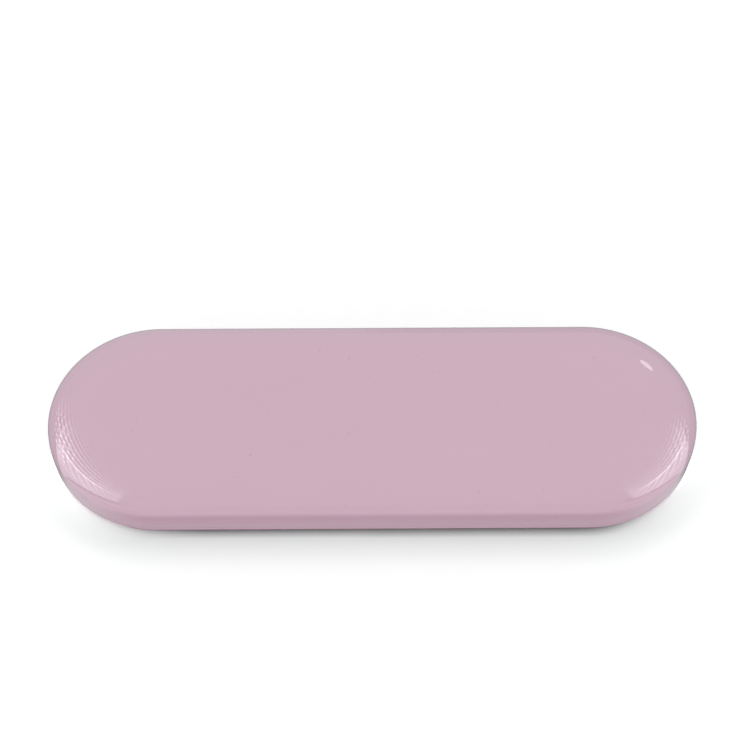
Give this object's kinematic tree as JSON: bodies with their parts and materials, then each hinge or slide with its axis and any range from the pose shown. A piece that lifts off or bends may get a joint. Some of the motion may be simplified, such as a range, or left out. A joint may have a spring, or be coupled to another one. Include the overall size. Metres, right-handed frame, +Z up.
{
  "type": "tweezer case",
  "caption": "Stadium-shaped hard case for tweezers: a deep rounded lid hinged at the back over a shallow base with a magnetic velvet bed.",
  "frame": {"origin": "middle of the flat underside, at the middle of the case's outline", "axes": "+X along the case's length, -Y towards the front that opens, +Y towards the hinge, +Z up"},
  "size_m": [0.17, 0.0582, 0.0185],
  "materials": {
    "lid_lacquer": "pale pink high-gloss lacquer on moulded plastic",
    "base_lacquer": "pale pink high-gloss lacquer on moulded plastic",
    "liner_flock": "formed sheet with a short blush-coloured flock",
    "tray_flock": "formed sheet with a short blush-coloured flock",
    "pad_velvet": "rose velvet over thin foam",
    "strip_magnet": "dark magnet strip, dull",
    "magnet_nickel": "bright nickel plate",
    "pin_steel": "drawn steel wire"
  },
  "bodies": {
    "base": {"base_shell": "base_lacquer", "bed_tray": "tray_flock", "bed_pad": "pad_velvet", "magnet_strip_left": "strip_magnet", "magnet_strip_right": "strip_magnet", "base_magnet_left": "magnet_nickel", "base_magnet_right": "magnet_nickel", "hinge_pin_left": "pin_steel", "hinge_pin_right": "pin_steel"},
    "lid": {"lid_shell": "lid_lacquer", "lid_liner": "liner_flock", "lid_magnet_left": "magnet_nickel", "lid_magnet_right": "magnet_nickel"}
  },
  "joints": [
    {"name": "lid_hinge", "type": "hinge", "parent": "base", "child": "lid", "pos_m": [0, 0.0269, 0.0023], "axis": [-1, 0, 0], "range_deg": [0, 90]}
  ]
}
